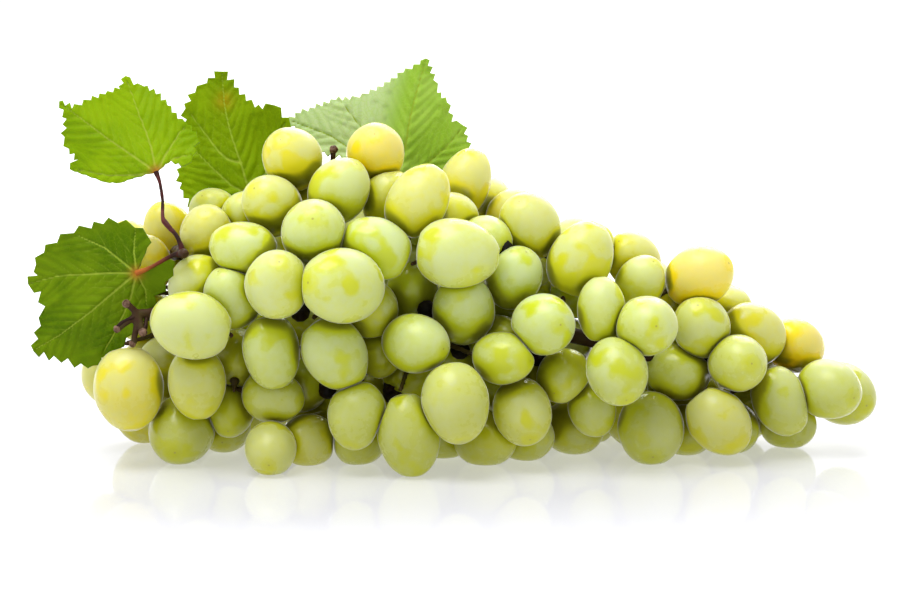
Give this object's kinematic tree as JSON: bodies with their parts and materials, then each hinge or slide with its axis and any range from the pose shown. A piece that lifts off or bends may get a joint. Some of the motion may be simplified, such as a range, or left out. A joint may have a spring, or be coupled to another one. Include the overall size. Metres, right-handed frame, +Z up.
{
  "type": "bunch of grapes",
  "caption": "Bunch of oval white table grapes with vine leaves, lying on its side on a flat surface, broad at the stalk end and tapering to the tip.",
  "frame": {"origin": "centre of the bounding box's bottom face, on the surface that the bunch lies on", "axes": "+Z up, +X along the bunch from its stalk end to its tip, -Y towards the side that the picture shows"},
  "size_m": [0.281, 0.1116, 0.1289],
  "materials": {
    "grape_skin": "pale yellow-green skin with a dull waxy bloom, soft sheen",
    "leaf_blade": "fresh green vine leaf, satin",
    "leaf_stalk": "reddish brown, satin",
    "stem": "woody brown, matt"
  },
  "bodies": {
    "root": {"berries_02": "grape_skin", "berries_04": "grape_skin", "berries_05": "grape_skin", "berries_07": "grape_skin", "berries_08": "grape_skin", "berries_09": "grape_skin", "berries_12": "grape_skin", "berries_13": "grape_skin", "berries_14": "grape_skin", "berries_15": "grape_skin", "berries_17": "grape_skin", "berries_18": "grape_skin", "berries_19": "grape_skin", "berries_21": "grape_skin", "berries_23": "grape_skin", "berries_24": "grape_skin", "berries_25": "grape_skin", "berries_27": "grape_skin", "berries_28": "grape_skin", "berries_29": "grape_skin", "berries_30": "grape_skin", "berries_31": "grape_skin", "berries_32": "grape_skin", "berries_33": "grape_skin", "berries_34": "grape_skin", "berries_35": "grape_skin", "berries_36": "grape_skin", "berries_37": "grape_skin", "berries_38": "grape_skin", "berries_39": "grape_skin", "berries_40": "grape_skin", "berries_41": "grape_skin", "berries_42": "grape_skin", "berries_43": "grape_skin", "berries_45": "grape_skin", "berries_47": "grape_skin", "berries_48": "grape_skin", "berries_49": "grape_skin", "berry_01": "grape_skin", "berry_03": "grape_skin", "berry_06": "grape_skin", "berry_10": "grape_skin", "berry_11": "grape_skin", "berry_16": "grape_skin", "berry_20": "grape_skin", "berry_22": "grape_skin", "berry_26": "grape_skin", "berry_44": "grape_skin", "berry_46": "grape_skin", "berry_50": "grape_skin", "leaf_lower_left": "leaf_blade", "leaf_stalk_lower_left": "leaf_stalk", "leaf_stalk_upper_left": "leaf_stalk", "leaf_stalk_upper_middle": "leaf_stalk", "leaf_stalk_upper_right": "leaf_stalk", "leaf_upper_left": "leaf_blade", "leaf_upper_middle": "leaf_blade", "leaf_upper_right": "leaf_blade", "main_stem": "stem", "shoot": "stem"}
  },
  "joints": []
}
